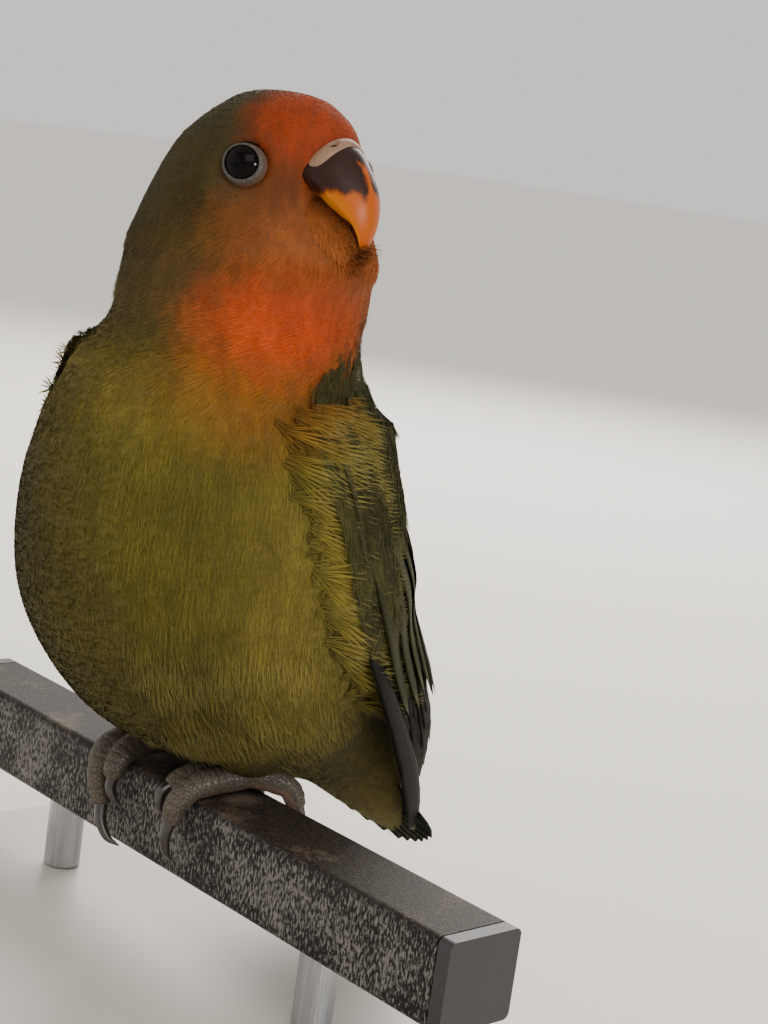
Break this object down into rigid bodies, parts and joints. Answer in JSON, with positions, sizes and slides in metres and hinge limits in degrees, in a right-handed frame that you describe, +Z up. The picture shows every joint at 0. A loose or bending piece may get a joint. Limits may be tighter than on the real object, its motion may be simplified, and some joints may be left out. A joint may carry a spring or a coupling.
{
  "type": "peach-faced lovebird model",
  "caption": "Life-size still model of a young peach-faced lovebird gripping a short square bar on a plain display stand, its head turned over its left side.",
  "frame": {"origin": "middle of the underside of the stand's base", "axes": "+Z up through the bar and the bird's crown, +X along the bar towards the bird's left side, -Y the way the bird's breast faces"},
  "size_m": [0.136, 0.096, 0.147],
  "materials": {
    "body_plumage": "olive green body feathers, matt and soft",
    "neck_plumage": "orange-red throat running into olive nape, matt and soft",
    "head_plumage": "salmon-brown cheek, orange-red forehead and olive crown, matt and soft",
    "wing": "dark green coverts and blackish flight feathers with a low sheen",
    "tail": "dark green and blue-black tail feathers with a low sheen",
    "bill": "orange-yellow horn, dark brown at the base, satin",
    "cere": "pale bare skin, matt",
    "eye": "near-black wet eye",
    "foot": "grey-brown scaled skin",
    "claw": "black horn, satin",
    "bar": "mottled dark grey paint, worn on top",
    "cap": "black end cap",
    "stand": "plain pale satin paint"
  },
  "bodies": {
    "root": {"bill_lower": "bill", "bill_upper": "bill", "cere": "cere", "claw_left_inner_back": "claw", "claw_left_inner_front": "claw", "claw_left_outer_back": "claw", "claw_left_outer_front": "claw", "claw_right_inner_back": "claw", "claw_right_inner_front": "claw", "claw_right_outer_back": "claw", "claw_right_outer_front": "claw", "eye_left": "eye", "eye_right": "eye", "foot_left": "foot", "foot_right": "foot", "head": "head_plumage", "neck": "neck_plumage", "perch": "bar", "perch_cap_left": "cap", "perch_cap_right": "cap", "stand_base": "stand", "stand_rod_left": "stand", "stand_rod_right": "stand", "tail": "tail", "thigh_left": "body_plumage", "thigh_right": "body_plumage", "torso": "body_plumage", "wing_left": "wing", "wing_right": "wing"}
  },
  "joints": []
}
